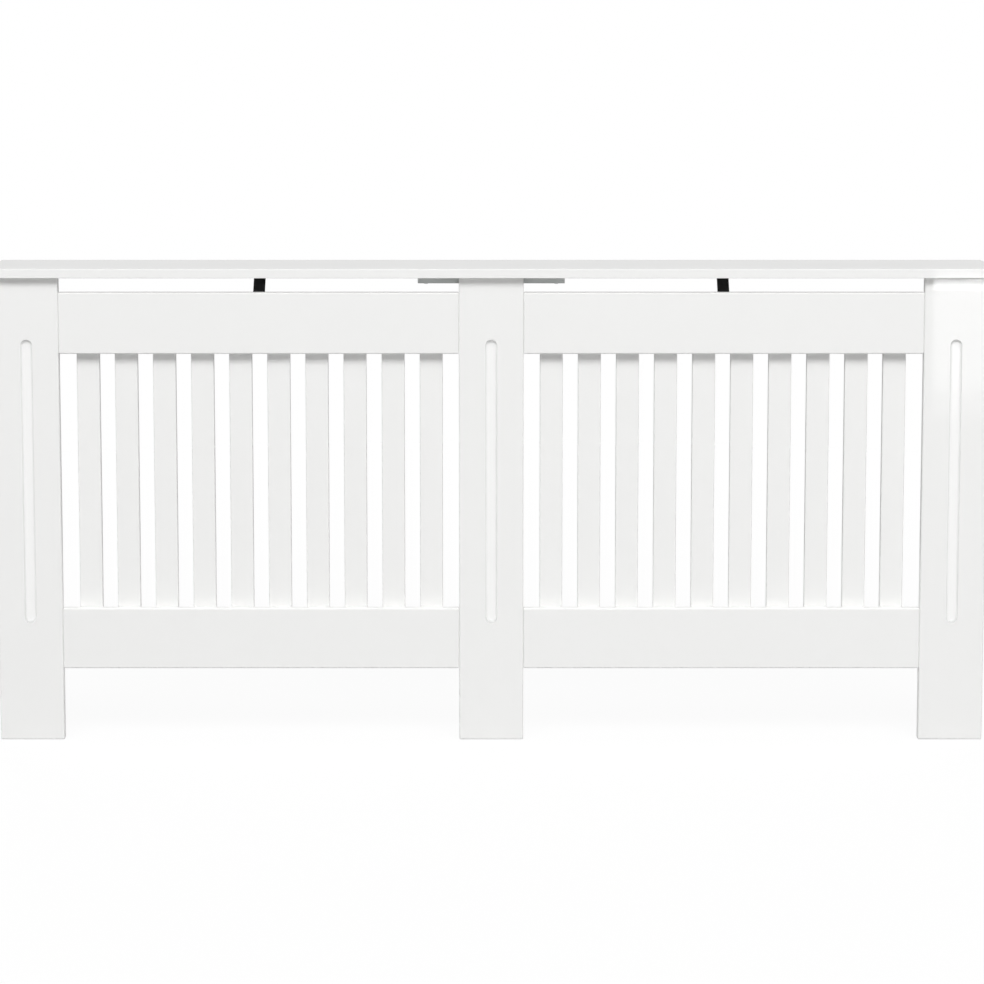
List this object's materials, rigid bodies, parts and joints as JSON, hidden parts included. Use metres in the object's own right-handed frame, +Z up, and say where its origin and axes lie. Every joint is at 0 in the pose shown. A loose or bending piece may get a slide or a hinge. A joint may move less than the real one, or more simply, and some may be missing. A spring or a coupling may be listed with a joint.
{
  "type": "radiator cover cabinet",
  "caption": "White lacquered radiator cover cabinet: bays of upright slats between grooved posts and deep rails, side panels, an overhanging shelf top, open back and bottom",
  "frame": {"origin": "on the floor below the middle of the cabinet, at the centre of the top's outline", "axes": "+Z up, -Y towards the room (the slatted front), +Y towards the wall, +X to the right seen from the front"},
  "size_m": [1.72, 0.19, 0.815],
  "materials": {
    "white_lacquer": "high gloss white lacquer on fibreboard",
    "black_steel": "satin black",
    "zinc_steel": "bright zinc"
  },
  "bodies": {
    "root": {"cam_bolt_lower_inner_left": "zinc_steel", "cam_bolt_lower_inner_right": "zinc_steel", "cam_bolt_lower_outer_left": "zinc_steel", "cam_bolt_lower_outer_right": "zinc_steel", "cam_bolt_upper_inner_left": "zinc_steel", "cam_bolt_upper_inner_right": "zinc_steel", "cam_bolt_upper_outer_left": "zinc_steel", "cam_bolt_upper_outer_right": "zinc_steel", "cam_lower_inner_left": "zinc_steel", "cam_lower_inner_right": "zinc_steel", "cam_lower_outer_left": "zinc_steel", "cam_lower_outer_right": "zinc_steel", "cam_upper_inner_left": "zinc_steel", "cam_upper_inner_right": "zinc_steel", "cam_upper_outer_left": "zinc_steel", "cam_upper_outer_right": "zinc_steel", "corner_bracket_left": "zinc_steel", "corner_bracket_right": "zinc_steel", "joint_plate": "white_lacquer", "lower_angle_left": "zinc_steel", "lower_angle_right": "zinc_steel", "lower_rail_left": "white_lacquer", "lower_rail_right": "white_lacquer", "plate_screw_front_left": "zinc_steel", "plate_screw_front_right": "zinc_steel", "plate_screw_rear_left": "zinc_steel", "plate_screw_rear_right": "zinc_steel", "post_centre": "white_lacquer", "post_left": "white_lacquer", "post_right": "white_lacquer", "rail_tie_left": "black_steel", "rail_tie_right": "black_steel", "rear_angle_left": "zinc_steel", "rear_angle_right": "zinc_steel", "side_panel_left": "white_lacquer", "side_panel_right": "white_lacquer", "slat_left_01": "white_lacquer", "slat_left_02": "white_lacquer", "slat_left_03": "white_lacquer", "slat_left_04": "white_lacquer", "slat_left_05": "white_lacquer", "slat_left_06": "white_lacquer", "slat_left_07": "white_lacquer", "slat_left_08": "white_lacquer", "slat_left_09": "white_lacquer", "slat_left_10": "white_lacquer", "slat_right_01": "white_lacquer", "slat_right_02": "white_lacquer", "slat_right_03": "white_lacquer", "slat_right_04": "white_lacquer", "slat_right_05": "white_lacquer", "slat_right_06": "white_lacquer", "slat_right_07": "white_lacquer", "slat_right_08": "white_lacquer", "slat_right_09": "white_lacquer", "slat_right_10": "white_lacquer", "top_board_left": "white_lacquer", "top_board_right": "white_lacquer", "upper_rail_left": "white_lacquer", "upper_rail_right": "white_lacquer"}
  },
  "joints": []
}
